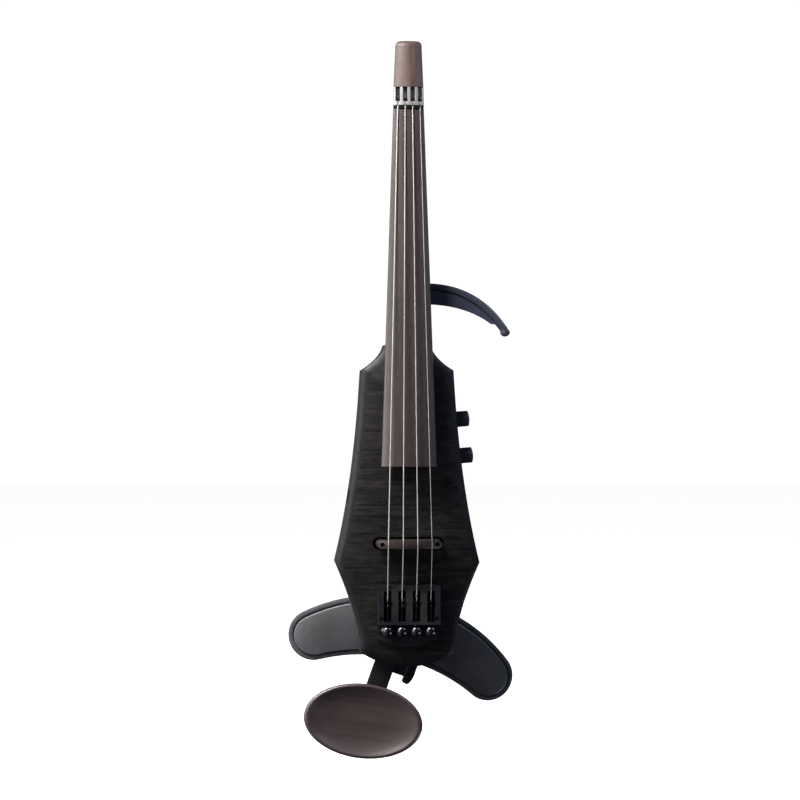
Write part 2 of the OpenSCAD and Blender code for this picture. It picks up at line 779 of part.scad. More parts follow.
// Forked round the rod at its upper end, with a finger hook below the tail
module clamp_lever() {
    left = pin_x - lever_half;
    right = pin_x + lever_half;
    hook = curve([right, lever_end + 11], [right + 0.2, lever_end + 3.4], [right - 3, lever_end], 8);
    color("black") arm_frame() difference() {
        plate_xz(concat([[left, lever_end + 0.9]], arc([pin_x, rod_z], lever_half, 180, 0, 12), hook,
                        [[right - 3.8, lever_end - 0.2]]), 26.3, 33.3);
        block([0, rod_y_mid - 1.6, rod_z - 6], [40, rod_y_mid + 1.6, rod_z + 20]);
        rod_y(1.35, 0, 60, pin_x, rod_z);
    }
}

module clamp_pin() {
    color("silver") arm_frame() rod_y(1.25, 26.5, 33.1, pin_x, rod_z);
}

// ---------- shoulder rest ----------

module shoulder_collar() {
    color("silver") difference() {
        union() {
            rod_y(9.5, 34, 35.7, pivot[0], pivot[1]);
            rod_y(7, 34, 50, pivot[0], pivot[1]);
        }
        rod_y(4.1, 0, 60, pivot[0], pivot[1]);
        translate([pivot[0], 47, pivot[1]]) cylinder(r = 1.6, h = 20);
    }
}

module collar_nut() {
    color("silver") difference() {
        rod_y(9.5, 41.3, 43.5, pivot[0], pivot[1]);
        rod_y(7, 40, 45, pivot[0], pivot[1]);
    }
}

module shoulder_lock_screw() {
    color("black") translate([pivot[0], 47, pivot[1]]) {
        translate([0, 0, 4.3]) cylinder(r = 1.5, h = 10);
        translate([0, 0, 12]) cylinder(r = 4.4, h = 5);
        translate([0, 0, 10]) cylinder(r = 3, h = 3);
    }
}

// Frame of the shoulder rest: +X along the crescent's chord, +Z towards its crest
module rest_frame() {
    translate([rest_mid[0], 0, rest_mid[1]]) rotate([0, rest_angle, 0]) children();
}

module shoulder_swivel() {
    hinge_x = rest_mid[0] + hinge_v * sin(rest_angle);
    hinge_z = rest_mid[1] + hinge_v * cos(rest_angle);
    color("dimgray") difference() {
        union() {
            rod_y(11, 36, 41, pivot[0], pivot[1]);
            block([hinge_x - 5.2, 36, hinge_z], [hinge_x + 5.2, 41, pivot[1]]);
            rest_frame() translate([-6, hinge_y, hinge_v]) rotate([0, 90, 0]) cylinder(r = 3.4, h = 12);
        }
        rod_y(7.1, 0, 60, pivot[0], pivot[1]);
        rest_frame() translate([-20, hinge_y, hinge_v]) rotate([0, 90, 0]) cylinder(r = 2.1, h = 40);
    }
}

module tilt_pin() {
    color("silver") rest_frame()
        translate([-12.6, hinge_y, hinge_v]) rotate([0, 90, 0]) cylinder(r = 2, h = 25.2);
}

// Crescent of two arcs and two round lobes, all tangent
lobe_turn = 50;
crest_v = 44;
top_c = crest_v - rest_top_r;
lobe_c = [0, top_c] + (rest_top_r - lobe_r) * [cos(lobe_turn), sin(lobe_turn)];
low_c = -139;
low_r = norm(lobe_c - [0, low_c]) - lobe_r;
low_u = lobe_c[0] * low_r / (low_r + lobe_r);
top_u = rest_top_r * cos(lobe_turn);
rest_half = lobe_c[0] + lobe_r;
function lobe_rise(u, inset) = sqrt(max(0.6, pow(lobe_r - inset, 2) - pow(abs(u) - lobe_c[0], 2)));
function rest_top(u, inset) = abs(u) < top_u - inset * cos(lobe_turn)
    ? top_c + sqrt(pow(rest_top_r - inset, 2) - u * u) : lobe_c[1] + lobe_rise(u, inset);
function rest_low(u, inset) = abs(u) < low_u * (low_r + inset) / low_r
    ? low_c + sqrt(pow(low_r + inset, 2) - u * u) : lobe_c[1] - lobe_rise(u, inset);
function rest_bow(u) = rest_y + 9 * pow(u / 90, 2);

// Bowed slab inside the crescent, from depth y0 to y1 behind its bow line
module crescent(inset, y0, y1, edge) {
    half = rest_half - inset;
    loft([for (a = [-88:8:88]) let (u = half * sin(a), top = rest_top(u, inset), low = rest_low(u, inset),
                                    e = min(edge, (top - low) / 4), y = rest_bow(u))
        [[u, y + y0 + edge, low], [u, y + y1 - edge, low], [u, y + y1, low + e], [u, y + y1, top - e],
         [u, y + y1 - edge, top], [u, y + y0 + edge, top], [u, y + y0, top - e], [u, y + y0, low + e]]]);
}

module shoulder_plate() {
    color("dimgray") rest_frame() difference() {
        union() {
            crescent(4.4, 0, plate_t, 0.8);
            for (s = [-1, 1]) {
                translate([s * 9.3 - 2.9, hinge_y, hinge_v]) rotate([0, 90, 0]) cylinder(r = 3.6, h = 5.8);
                block([s * 9.3 - 2.9, hinge_y, hinge_v - 3.6], [s * 9.3 + 2.9, rest_y + 1.2, hinge_v + 3.6]);
            }
        }
        translate([-20, hinge_y, hinge_v]) rotate([0, 90, 0]) cylinder(r = 2, h = 40);
    }
}

module shoulder_pad() {
    color("black") rest_frame() crescent(0, plate_t + 0.15, rest_t, 2.5);
}

// ---------- upper-bout arm ----------

bout_root = 17;
outer_line = curve([bout_root, 291], [57, 290], [79, 254], 12);
ridge_line = curve([bout_root, 286.5], [48, 285.5], [71.6, 255], 12);
ridge_cut = 11;
inner_line = curve([bout_root, 275], [46, 274], [64.4, 260.2], 10);
bout_holes = [[-3, 281], [8, 281]];

module bout_arm() {
    top_part = [for (i = [0:ridge_cut]) ridge_line[i]];
    low_part = [for (i = [9:-1:0]) inner_line[i]];
    color("black") difference() {
        union() {
            plate_xz(concat(top_part, [[64.4, 260.2]], low_part), -10.5, -6);
            block([-9, -14, 275.5], [bout_root + 1, -6, 286]);
        }
        for (p = bout_holes) {
            rod_y(1.5, -30, 0, p[0], p[1]);
            rod_y(2.7, -7.8, 0, p[0], p[1]);
        }
    }
}

module bout_rail() {
    tip = arc([76, 253.4], 3.2, 10, -140, 6);
    low_part = [for (i = [11:-1:0]) ridge_line[i]];
    color("black") plate_xz(concat(outer_line, tip, low_part), -12, -5);
}

module bout_screws() {
    color("silver") for (p = bout_holes) screw(p, -6.2, -22, 1.5, 2.7, 1.6);
}

body_core();
body_top();
neck();
fingerboard();
head_cap();
string_anchor();
string_g();
string_d();
string_a();
string_e();
string_balls();
bridge();
bridge_pickup();
bridge_screw_bass();
bridge_screw_treble();
bridge_screw_seats();
tuner_housing();
carriage_g();
carriage_d();
carriage_a();
carriage_e();
tuning_knob_g();
tuning_knob_d();
tuning_knob_a();
tuning_knob_e();
housing_screws();
volume_knob();
tone_knob();
volume_pot();
tone_pot();
control_nuts();
output_jack();
jack_nut();
control_cover();
cover_screws();
preamp_board();
pickup_lead();
rear_bracket();
bracket_screws();
swivel_post();
post_clip();
chin_arm();
chin_slide();
chin_post();
chin_plate();
chin_dish();
clamp_rod();
clamp_block();
clamp_lever();
clamp_pin();
shoulder_collar();
collar_nut();
shoulder_lock_screw();
shoulder_swivel();
tilt_pin();
shoulder_plate();
shoulder_pad();
bout_arm();
bout_rail();
bout_screws();
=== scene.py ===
import json
import math

import bmesh
import bpy
from mathutils import Matrix, Vector


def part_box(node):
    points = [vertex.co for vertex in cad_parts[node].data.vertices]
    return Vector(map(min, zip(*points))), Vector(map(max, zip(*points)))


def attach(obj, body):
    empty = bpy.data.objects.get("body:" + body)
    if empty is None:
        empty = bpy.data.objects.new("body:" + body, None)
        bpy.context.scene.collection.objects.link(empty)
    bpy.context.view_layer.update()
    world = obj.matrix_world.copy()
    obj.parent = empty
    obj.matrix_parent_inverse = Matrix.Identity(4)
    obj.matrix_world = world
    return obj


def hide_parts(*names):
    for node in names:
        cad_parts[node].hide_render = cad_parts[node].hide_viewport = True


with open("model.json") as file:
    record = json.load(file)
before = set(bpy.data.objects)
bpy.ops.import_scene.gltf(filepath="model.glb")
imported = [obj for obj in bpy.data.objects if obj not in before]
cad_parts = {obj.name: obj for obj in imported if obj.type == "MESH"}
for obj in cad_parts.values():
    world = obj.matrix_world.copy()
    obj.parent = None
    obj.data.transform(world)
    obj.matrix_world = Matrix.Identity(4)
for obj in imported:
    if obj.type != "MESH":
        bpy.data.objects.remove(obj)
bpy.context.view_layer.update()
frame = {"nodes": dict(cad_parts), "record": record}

MM = 0.001
NODES = frame["nodes"]
RECORD = frame["record"]
BODY_OF = {n: body for body, names in RECORD["behaviour"]["bodies"].items() for n in names}
SLOT_OF = {part["node"]: part["material_slot"] for part in RECORD["subparts"]}


# ---------- material nodes ----------

class Surface:
    """One Principled material, with short calls that add procedural layers to it."""

    def __init__(self, name, **constants):
        self.material = bpy.data.materials.new(name)
        self.material.use_nodes = True
        self.tree = self.material.node_tree
        self.shader = self.tree.nodes["Principled BSDF"]
        for socket, value in constants.items():
            self.shader.inputs[socket.replace("_", " ")].default_value = value

    def node(self, kind, links=None, **values):
        made = self.tree.nodes.new(kind)
        for key, value in values.items():
            setattr(made, key, value)
        for socket, value in (links or {}).items():
            if isinstance(value, bpy.types.NodeSocket):
                self.tree.links.new(value, made.inputs[socket])
            else:
                made.inputs[socket].default_value = value
        return made

    def place(self, scale=(1, 1, 1), turn=(0, 0, 0)):
        """Coordinates in the shared frame, in metres, turned and stretched."""
        where = self.node("ShaderNodeTexCoord").outputs["Object"]
        angles = [math.radians(a) for a in turn]
        turned = self.node("ShaderNodeMapping", {"Vector": where, "Rotation": angles})
        return self.node("ShaderNodeMapping", {"Vector": turned.outputs[0], "Scale": scale}).outputs[0]

    def noise(self, at, scale=1.0, detail=4.0, rough=0.55, warp=0.0):
        return self.node("ShaderNodeTexNoise", {
            "Vector": at, "Scale": scale, "Detail": detail, "Roughness": rough,
            "Distortion": warp}).outputs["Fac"]

    def cells(self, at, scale, feature="F1"):
        return self.node("ShaderNodeTexVoronoi", {"Vector": at, "Scale": scale},
                         feature=feature).outputs["Distance"]

    def ramp(self, value, stops):
        made = self.node("ShaderNodeValToRGB", {"Fac": value})
        ends = made.color_ramp.elements
        while len(ends) < len(stops):
            ends.new(0.5)
        for end, (at, colour) in zip(ends, stops):
            end.position = at
            end.color = (*colour, 1) if len(colour) == 3 else colour
        return made.outputs["Color"]

    def span(self, value, low, high, start=0.0, stop=1.0):
        return self.node("ShaderNodeMapRange", {
            "Value": value, "From Min": start, "From Max": stop,
            "To Min": low, "To Max": high}).outputs["Result"]

    def mix(self, factor, a, b, blend="MIX"):
        made = self.node("ShaderNodeMix", data_type="RGBA", blend_type=blend)
        for socket, value in ((0, factor), (6, a), (7, b)):
            if isinstance(value, bpy.types.NodeSocket):
                self.tree.links.new(value, made.inputs[socket])
            else:
                made.inputs[socket].default_value = value if socket == 0 else (*value, 1)
        return made.outputs[2]

    def maths(self, kind, a, b):
        return self.node("ShaderNodeMath", {0: a, 1: b}, operation=kind).outputs[0]

    def bump(self, height, strength, depth, after=None):
        links = {"Height": height, "Strength": strength, "Distance": depth}
        if after:
            links["Normal"] = after
        return self.node("ShaderNodeBump", links).outputs["Normal"]

    def set(self, socket, source):
        self.tree.links.new(source, self.shader.inputs[socket])


def grey(level):
    return (level, level, level)


def timber(name, dark, light, turn=(0, 0, 0), flame=0.0, figure=(22, 22, 150), grain=(260, 260, 9),
           drift=(42, 42, 3.5), gloss=(0.3, 0.45), pores=0.5, **constants):
    """Wood with its grain along Z before the turn: long streaks, pores, and flame bands across it."""
    s = Surface(name, **constants)
    streaks = s.noise(s.place(grain, turn), detail=5, rough=0.6, warp=0.35)
    slow = s.noise(s.place(drift, turn), detail=3, warp=0.6)
    both = s.maths("ADD", s.maths("MULTIPLY", streaks, 0.55), s.maths("MULTIPLY", slow, 0.45))
    middle = tuple(0.5 * (a + b) for a, b in zip(dark, light))
    colour = s.ramp(both, [(0.36, dark), (0.5, middle), (0.64, light)])
    bands = s.noise(s.place(figure, turn), detail=3, rough=0.6, warp=0.8)
    if flame:
        shade = s.span(bands, 1 - flame, 1 + flame, 0.34, 0.66)
        colour = s.node("ShaderNodeVectorMath", {0: colour, 3: shade}, operation="SCALE").outputs[0]
    hairs = s.noise(s.place((2600, 2600, 55), turn), detail=2, rough=0.7)
    lines = s.ramp(hairs, [(0.36, grey(0)), (0.5, grey(1))])
    colour = s.mix(pores, colour, s.mix(lines, tuple(0.45 * c for c in dark), (1, 1, 1)), "MULTIPLY")
    s.set("Base Color", colour)
    s.set("Roughness", s.span(s.maths("ADD", both, s.maths("MULTIPLY", bands, 0.5)), *gloss, 0.45, 1.05))
    rough = s.bump(lines, 0.12 * pores + 0.02, 0.0002)
    s.set("Normal", s.bump(bands, 0.05 + 0.4 * flame, 0.0004, rough))
    return s.material


def metal(name, colour, gloss=(0.2, 0.35), brush=(900, 900, 60), turn=(0, 0, 0), scratch=0.06,
          wear_and_glint=None, **constants):
    """Brushed or blasted metal with smudges, fine lines and rubbed edges; where the rubbed-edge colour is
    set bright it is also a painted glint.
    """
    constants.setdefault("Metallic", 1.0)
    s = Surface(name, **constants)
    lines = s.noise(s.place(brush, turn), detail=3, rough=0.7)
    smudge = s.noise(s.place(), scale=38, detail=4, rough=0.6, warp=0.4)
    tint = s.mix(s.span(smudge, 0.0, 1.0, 0.3, 0.7), tuple(0.86 * c for c in colour), colour)
    if wear_and_glint:
        # Sharp edges take a lighter colour: rubbed wear, and on the black screws also a painted glint.
        edge = s.node("ShaderNodeNewGeometry").outputs["Pointiness"]
        rubbed_and_glint = s.maths("MULTIPLY", s.span(edge, 0, 1, 0.53, 0.6), s.span(smudge, 0, 1, 0.42, 0.6))
        tint = s.mix(rubbed_and_glint, tint, wear_and_glint)
    s.set("Base Color", tint)
    s.set("Roughness", s.span(s.maths("ADD", smudge, lines), *gloss, 0.75, 1.3))
    s.set("Normal", s.bump(lines, scratch, 0.0001))
    return s.material


def moulded(name, colour, gloss=(0.35, 0.5), grain=2600.0, depth=0.12, mottle=0.2, **constants):
    """Moulded plastic or rubber: a fine pebble, slow tone shifts and light handling marks."""
    s = Surface(name, **constants)
    pebble = s.noise(s.place(), scale=grain, detail=2.5, rough=0.6)
    slow = s.noise(s.place(), scale=30, detail=4, rough=0.6, warp=0.3)
    tone = s.maths("ADD", s.maths("MULTIPLY", pebble, 0.45), s.maths("MULTIPLY", slow, 0.55))
    low, high = (tuple(c * k for c in colour) for k in (1 - mottle, 1 + mottle))
    s.set("Base Color", s.ramp(tone, [(0.36, low), (0.64, high)]))
    s.set("Roughness", s.span(slow, *gloss, 0.35, 0.65))
    s.set("Normal", s.bump(pebble, depth, 0.0002))
    return s.material


# ---------- finishes, one for each material slot of the record ----------

def flamed_top():
    """Clear gloss over black-stained flamed maple: the bands shift both the tone and the sheen."""
    return timber("flamed_black", (0.0012, 0.001, 0.0018), (0.0125, 0.0112, 0.0104), flame=0.95,
                  figure=(26, 26, 520), grain=(120, 120, 260), drift=(26, 26, 34),
                  gloss=(0.36, 0.5), pores=0.1, Coat_Weight=0.12,
                  Coat_Roughness=0.3, Specular_IOR_Level=0.4)


def wound_steel():
    """Flat-wound string: fine turns along its length with a slight shimmer between them."""
    s = Surface("wound_steel", Metallic=0.6)
    turns = s.node("ShaderNodeTexWave", {"Vector": s.place((1, 1, 1)), "Scale": 620.0, "Distortion": 0.0},
                   bands_direction="Z").outputs["Fac"]
    shimmer = s.noise(s.place((60, 60, 9)), detail=3)
    s.set("Base Color", s.mix(shimmer, (0.58, 0.565, 0.5), (0.68, 0.665, 0.6)))
    s.set("Roughness", s.span(shimmer, 0.36, 0.44, 0.35, 0.65))
    s.set("Normal", s.bump(turns, 0.02, 0.00001))
    return s.material


def foam():
    """Closed-cell foam skin: small open cells over a soft uneven surface."""
    s = Surface("closed_cell_foam", Specular_IOR_Level=0.3, Sheen_Weight=0.25, Sheen_Roughness=0.5)
    cells = s.cells(s.place(), 1500)
    grain = s.noise(s.place(), scale=900, detail=4, rough=0.7)
    slow = s.noise(s.place(), scale=45, detail=3, warp=0.5)
    both = s.maths("ADD", s.maths("MULTIPLY", grain, 0.6), s.maths("MULTIPLY", slow, 0.4))
    s.set("Base Color", s.ramp(both, [(0.36, (0.036, 0.038, 0.046)), (0.64, (0.092, 0.096, 0.11))]))
    s.set("Roughness", s.span(grain, 0.62, 0.86, 0.3, 0.7))
    s.set("Normal", s.bump(cells, 0.35, 0.0003, s.bump(grain, 0.25, 0.0003)))
    return s.material


def circuit():
    """Green lacquered board with copper tracks showing through."""
    s = Surface("circuit_green", Coat_Weight=0.3)
    tracks = s.cells(s.place((1, 1, 1)), 260, "DISTANCE_TO_EDGE")
    line = s.ramp(tracks, [(0.05, (0.02, 0.11, 0.035)), (0.09, (0.006, 0.035, 0.012))])
    s.set("Base Color", line)
    s.set("Roughness", s.span(s.noise(s.place(), scale=200), 0.3, 0.5))
    s.set("Normal", s.bump(tracks, 0.2, 0.0001))
    return s.material


FINISH = {
    "core_wood": timber("stained_maple", (0.0045, 0.0042, 0.005), (0.013, 0.012, 0.0115), flame=0.3,
                        gloss=(0.34, 0.5), pores=0.5, Coat_Weight=0.25, Coat_Roughness=0.25),
    "top_wood": flamed_top(),
    "neck_wood": timber("satin_neck", (0.007, 0.006, 0.0065), (0.02, 0.017, 0.016), flame=0.15,
                        gloss=(0.38, 0.52), pores=0.6),
    "board_wood": timber("fingerboard_wood", (0.029, 0.0185, 0.019), (0.05, 0.0345, 0.0355),
                         gloss=(0.38, 0.48), pores=0.5, Specular_IOR_Level=0.8, Coat_Weight=0.4,
                         Coat_Roughness=0.36),
    "cap_wood": timber("polished_cap", (0.06, 0.036, 0.031), (0.112, 0.072, 0.063),
                       gloss=(0.46, 0.56), pores=0.4, Coat_Weight=0.12, Coat_Roughness=0.42),
    "bridge_wood": timber("bridge_wood", (0.02, 0.013, 0.0135), (0.05, 0.036, 0.035), turn=(0, 90, 0),
                          gloss=(0.35, 0.5), pores=0.5),
    "chin_wood": timber("chin_wood", (0.045, 0.029, 0.03), (0.07, 0.048, 0.047), turn=(0, 82, 0),
                        gloss=(0.38, 0.46), pores=0.3, Coat_Weight=0.8, Coat_Roughness=0.34,
                        Specular_IOR_Level=0.8),
    "anchor_metal": metal("anchor_alloy", (0.5, 0.5, 0.51), gloss=(0.4, 0.52), Metallic=0.7),
    "brass": metal("ball_bronze", (0.15, 0.125, 0.1), gloss=(0.3, 0.42)),
    "black_metal": metal("black_anodised", (0.029, 0.026, 0.036), gloss=(0.34, 0.42), scratch=0.03,
                         wear_and_glint=(0.05, 0.05, 0.055), Metallic=0.6, Specular_IOR_Level=0.6),
    # Edge colour 0.3 on the black screws: partly rubbed wear, partly a painted glint on the screw heads.
    "black_screws": metal("black_oxide", (0.04, 0.04, 0.045), gloss=(0.2, 0.32), wear_and_glint=(0.3, 0.3, 0.31)),
    "carriage_metal": metal("carriage_steel", (0.01, 0.0095, 0.012), gloss=(0.2, 0.32),
                            wear_and_glint=(0.14, 0.14, 0.14)),
    "knob_chrome": metal("black_chrome", (0.11, 0.115, 0.13), gloss=(0.24, 0.3), scratch=0.01),
    "string_steel": wound_steel(),
    "steel": metal("turned_steel", (0.6, 0.6, 0.6), gloss=(0.18, 0.32)),
    "control_metal": metal("control_metal", (0.045, 0.05, 0.068), gloss=(0.24, 0.36), scratch=0.05,
                           Metallic=0.5, Specular_IOR_Level=0.6),
    "lever_metal": metal("lever_metal", (0.03, 0.03, 0.038), gloss=(0.28, 0.4), wear_and_glint=(0.14, 0.14, 0.15),
                         Metallic=0.6),
    "cover_plastic": moulded("cover_plastic", (0.012, 0.012, 0.013), gloss=(0.42, 0.56), grain=3000),
    "circuit_board": circuit(),
    "cable": moulded("lead_jacket", (0.012, 0.012, 0.012), gloss=(0.4, 0.5), depth=0.04),
    "plate_plastic": moulded("plate_plastic", (0.042, 0.042, 0.05), gloss=(0.4, 0.47), grain=950, depth=1.0,
                             mottle=0.4, Specular_IOR_Level=1.0, Coat_Weight=0.7, Coat_Roughness=0.45),
    "pad_foam": foam(),
    "bout_plastic": moulded("bout_plastic", (0.038, 0.043, 0.07), gloss=(0.3, 0.42), grain=4000, depth=0.05),
    "rail_plastic": moulded("rail_plastic", (0.036, 0.041, 0.062), gloss=(0.36, 0.46), grain=4000,
                            depth=0.03),
}
BLACK_EDGE = timber("stained_edge", (0.0035, 0.0038, 0.006), (0.0075, 0.0082, 0.0125), flame=0.2,
                    gloss=(0.38, 0.5), pores=0.3, Specular_IOR_Level=0.35)
NUT_BLACK = timber("nut_ebony", (0.006, 0.006, 0.006), (0.02, 0.018, 0.017), turn=(0, 90, 0),
                   gloss=(0.25, 0.4), pores=0.3)


# ---------- mesh tools ----------

def mm(*point):
    return Vector(point) * MM


def settle(mesh, sharp=32.0):
    """Smooth shading that keeps edges sharper than an angle."""
    mesh.shade_smooth()
    mesh.set_sharp_from_angle(angle=math.radians(sharp))


def add_piece(name, mesh, nodes, finish=None, sharp=32.0, bevel=0.0, steps=2):
    """Puts a mesh in the scene in place of its CAD nodes, on their body and with their slot's finish."""
    obj = bpy.data.objects.new(name, mesh)
    bpy.context.scene.collection.objects.link(obj)
    if not mesh.materials:
        mesh.materials.append(finish or FINISH[SLOT_OF[nodes[0]]])
    if bevel:
        edge = obj.modifiers.new("edges", "BEVEL")
        edge.width = bevel * MM
        edge.segments = steps
        edge.limit_method = "ANGLE"
        edge.angle_limit = math.radians(sharp)
        edge.use_clamp_overlap = True
        mesh.shade_smooth()
        level = obj.modifiers.new("normals", "WEIGHTED_NORMAL")
        level.keep_sharp = True
    else:
        settle(mesh, sharp)
    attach(obj, BODY_OF[nodes[0]])
    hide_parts(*nodes)
    return obj


def to_mesh(name, bm):
    bmesh.ops.recalc_face_normals(bm, faces=bm.faces)
    mesh = bpy.data.meshes.new(name)
    bm.to_mesh(mesh)
    bm.free()
    return mesh


def loft(rings, closed_ends=True, loop=False):
    """Mesh through rings of equal length, points in millimetres; loop joins the last ring to the first."""
    bm = bmesh.new()
    rows = [[bm.verts.new(mm(*p)) for p in ring] for ring in rings]
    pairs = list(zip(rows, rows[1:])) + ([(rows[-1], rows[0])] if loop else [])
    for a, b in pairs:
        for i in range(len(a)):
            j = (i + 1) % len(a)
            bm.faces.new((a[i], a[j], b[j], b[i]))
    if closed_ends and not loop:
        bm.faces.new(rows[0][::-1])
        bm.faces.new(rows[-1])
    return bm


def refined(node, bevel=0.2, sharp=32.0, steps=2):
    """The CAD node's own shape with its triangles joined, and its edges rounded over."""
    bm = bmesh.new()
    bm.from_mesh(NODES[node].data)
    bmesh.ops.remove_doubles(bm, verts=bm.verts, dist=2e-6)
    bmesh.ops.dissolve_limit(bm, angle_limit=math.radians(0.6), verts=bm.verts, edges=bm.edges)
    clean = to_mesh(node + "_fine", bm)
    for old in [a.name for a in clean.attributes if a.name == "custom_normal"]:
        clean.attributes.remove(clean.attributes[old])
    return add_piece(node + "_fine", clean, [node], sharp=sharp, bevel=bevel, steps=steps)


# ---------- shared shapes, in millimetres, as the CAD has them ----------

LANES = (-1.5, -0.5, 0.5, 1.5)
LETTERS = "gdae"
STRING_R = (0.42, 0.38, 0.36, 0.22)
NUT_SPACING, BRIDGE_SPACING = 5.6, 10.9
ARCH_R = 42
NUT_Z, BRIDGE_Z = 422, 94
NUT_Y, CROWN_Y = -30, -48
NUT_DEPTH = 2.2
CARRIAGE_Y, CARRIAGE_LOW, CARRIAGE_HIGH = -34, 47, 54
PIVOT = (6.8, 58)


def sag(x, r):
    return r - math.sqrt(r * r - x * x)


def bezier(p, q, s, t):
    return tuple((1 - t) ** 2 * a + 2 * t * (1 - t) * b + t * t * c for a, b, c in zip(p, q, s))


def spread(points, count):
    """Catmull-Rom line through points, with count steps in each gap."""
    out = []
    for i in range(len(points) - 1):
        a, b = points[max(i - 1, 0)], points[i]
        c, d = points[i + 1], points[min(i + 2, len(points) - 1)]
        for k in range(count):
            t = k / count
            out.append(tuple(0.5 * (2 * q + (r - p) * t + (2 * p - 5 * q + 4 * r - s) * t * t
                                    + (3 * q - p - 3 * r + s) * t ** 3)
                             for p, q, r, s in zip(a, b, c, d)))
    return out + [points[-1]]


def eased(points, reach=0.9, steps=4):
    """A polyline with each corner turned into a short curve."""
    out = [points[0]]
    for a, b, c in zip(points, points[1:], points[2:]):
        va, vc = Vector(a) - Vector(b), Vector(c) - Vector(b)
        start = Vector(b) + va.normalized() * reach
        end = Vector(b) + vc.normalized() * reach
        out += [bezier(start, b, end, k / steps) for k in range(steps + 1)]
    return out + [points[-1]]


def tube(points, radius, sides=16):
    """Rings square to a line that never runs along X."""
    rings = []
    for i, p in enumerate(points):
        ahead = Vector(points[min(i + 1, len(points) - 1)]) - Vector(points[max(i - 1, 0)])
        along = ahead.normalized()
        across = Vector((1, 0, 0))
        across = (across - along * across.dot(along)).normalized()
        up = along.cross(across)
        rings.append([Vector(p) + radius * (across * math.cos(a) + up * math.sin(a))
                      for a in (2 * math.pi * k / sides for k in range(sides))])
    return rings


def turned(profile, sides=48, loop=False):
    """Lathe about +Z through (height, radius) points, as a bmesh."""
    rings = [[(r * math.cos(a), r * math.sin(a), z)
              for a in (2 * math.pi * k / sides for k in range(sides))] for z, r in profile]
    return loft(rings, loop=loop)


def aim(bm, origin, turn_y=0.0, turn_x=0.0):
    """Turns a bmesh about X and then Y, in degrees, and moves it to origin."""
    matrix = (Matrix.Translation(mm(*origin)) @ Matrix.Rotation(math.radians(turn_y), 4, "Y")
              @ Matrix.Rotation(math.radians(turn_x), 4, "X"))
    bm.transform(matrix)
    return bm


def joined(*parts):
    """One bmesh from several."""
    whole = bmesh.new()
    for bm in parts:
        hold = bpy.data.meshes.new("hold")
        bm.to_mesh(hold)
        bm.free()
        whole.from_mesh(hold)
        bpy.data.meshes.remove(hold)
    return whole


# ---------- strings ----------

ball_z = NUT_Z + NUT_DEPTH + 3.1
BALL = [(-1.4, 0.5), (-1.4, 1.35), (-1.2, 1.6), (-0.85, 1.6), (-0.6, 1.3), (0.6, 1.3), (0.85, 1.6),
        (1.2, 1.6), (1.4, 1.35), (1.4, 0.5)]
balls = []
for lane, letter, radius in zip(LANES, LETTERS, STRING_R):
    nut_y = NUT_Y + sag(lane * NUT_SPACING, ARCH_R)
    crown_y = CROWN_Y + sag(lane * BRIDGE_SPACING, ARCH_R)
    low, high = lane * BRIDGE_SPACING, lane * NUT_SPACING
    route = [(low, CARRIAGE_Y, CARRIAGE_LOW), (low, CARRIAGE_Y, CARRIAGE_HIGH), (low, crown_y, BRIDGE_Z),
             (high, nut_y, NUT_Z + NUT_DEPTH / 2), (high, nut_y, ball_z)]
    line = loft(tube(eased(route), radius))
    add_piece("string_" + letter + "_line", to_mesh("string_line", line), ["string_" + letter])
    barrel = turned(BALL, sides=24, loop=True)
    balls.append(aim(barrel, (high, nut_y, ball_z + 1.6), turn_y=90))
add_piece("string_barrels", to_mesh("string_barrels", joined(*balls)), ["string_balls"], sharp=40)


# ---------- head ----------

HEAD_MIDDLE_Y = -22.7


def boxy(value, power):
    return math.copysign(abs(value) ** power, value)


def head_ring(z, half, front, back, bulge):
    """One level of the cap: a shallow arc in front and a squarish oval behind."""
    middle = HEAD_MIDDLE_Y
    arch = [(half * k / 12, front + sag(half * k / 12, bulge), z) for k in range(-12, 13)]
    oval = [(half * boxy(math.cos(a), 0.8), middle + (back - middle) * boxy(math.sin(a), 0.85), z)
            for a in (math.radians(6 * k) for k in range(1, 30))]
    return arch + oval


cap_low, cap_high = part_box("head_cap")[0].z / MM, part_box("head_cap")[1].z / MM
dome = 6.0
rings = []
for z in (cap_low, cap_low + 0.5, cap_low + 10, cap_low + 20, cap_high - dome - 3):
    t = (z - cap_low) / (cap_high - dome - cap_low)
    rings.append(head_ring(z, 11.1 - 1.2 * t, -31.6 + 0.8 * t, -10.5 - t, 20 - 4 * t))
for step in range(0, 13):
    turn = math.radians(7.5 * step)
    inset = 8.2 * (1 - math.cos(turn)) ** 1.8
    level = cap_high - dome + dome * math.sin(turn)
    rings.append(head_ring(level, 9.9 - inset, -30.8 + inset, -11.5 - inset, 16))
add_piece("head_block", to_mesh("head_block", loft(rings)), ["head_cap"], sharp=50, bevel=1.1, steps=4)

anchor = refined("string_anchor", bevel=0.22)
anchor.data.materials.append(NUT_BLACK)
nut_top = (NUT_Z + NUT_DEPTH) * MM
TINY = 1e-6
for face in anchor.data.polygons:
    on_top = abs(face.center.z - nut_top) < TINY and face.normal.z > 0.5
    if face.center.z < nut_top - TINY or on_top:
        face.material_index = 1


# ---------- control knobs ----------

KNOB = [(-9, 0.4), (-9, 3), (3.4, 3), (3.4, 4.7), (1.3, 4.7), (1.3, 5.75), (1.5, 6), (9.9, 6), (10.25, 5.88),
        (10.55, 5.5), (10.95, 4.6), (11.3, 3.4), (11.55, 2), (11.68, 0.8), (11.7, 0.1)]
CONTROL_Y, CONTROL_TURN = -3, 85
for node, x, z in (("volume_knob", 36.9, 187.3), ("tone_knob", 39.7, 159.5)):
    bm = aim(turned(KNOB, sides=64), (x, CONTROL_Y, z), turn_y=CONTROL_TURN)
    add_piece(node + "_turned", to_mesh(node, bm), [node], sharp=38)


# ---------- chin rest dish ----------

